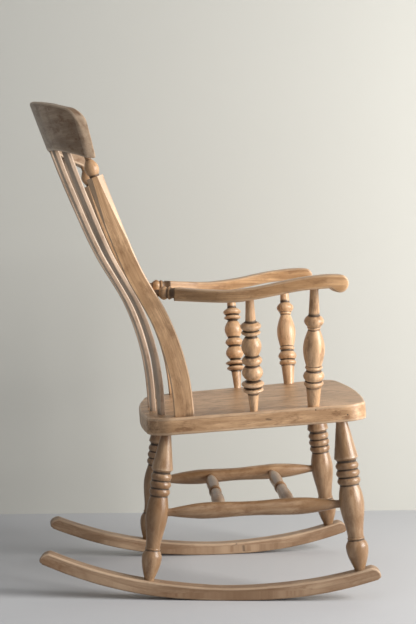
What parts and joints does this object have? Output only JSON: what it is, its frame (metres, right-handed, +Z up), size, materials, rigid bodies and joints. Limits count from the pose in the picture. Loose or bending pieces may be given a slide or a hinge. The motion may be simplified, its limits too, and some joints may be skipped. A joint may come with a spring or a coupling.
{
  "type": "rocking chair",
  "caption": "Wooden rocking armchair with a lath back, curved crest rail, scrolled arms on turned spindles, a plank seat and turned legs on curved rockers.",
  "frame": {"origin": "on the floor, under the middle of the overall box", "axes": "+X to the sitter's left, -Y the way the sitter faces, +Z up"},
  "size_m": [0.6808, 0.7694, 1.086],
  "materials": {
    "seat_plank": "old waxed plank, greyed on top, with small worm holes along its edge",
    "sawn_wood": "waxed sawn wood, worn pale along its corners",
    "lath_wood": "thin waxed laths, slightly greyed",
    "turned_wood": "waxed turned wood, dark in its grooves",
    "rocker_wood": "dull worn wood, pale along its upper corners"
  },
  "bodies": {
    "root": {"seat": "seat_plank", "upright_left": "sawn_wood", "upright_right": "sawn_wood", "crest_rail": "sawn_wood", "lath_1": "lath_wood", "lath_2": "lath_wood", "lath_3": "lath_wood", "lath_4": "lath_wood", "lath_5": "lath_wood", "arm_left": "sawn_wood", "arm_right": "sawn_wood", "spindle_front_left": "turned_wood", "spindle_front_right": "turned_wood", "spindle_rear_left": "turned_wood", "spindle_rear_right": "turned_wood", "leg_front_left": "turned_wood", "leg_front_right": "turned_wood", "leg_rear_left": "turned_wood", "leg_rear_right": "turned_wood", "side_stretcher_left": "turned_wood", "side_stretcher_right": "turned_wood", "cross_stretcher_front": "turned_wood", "cross_stretcher_rear": "turned_wood", "rocker_left": "rocker_wood", "rocker_right": "rocker_wood"}
  },
  "joints": []
}
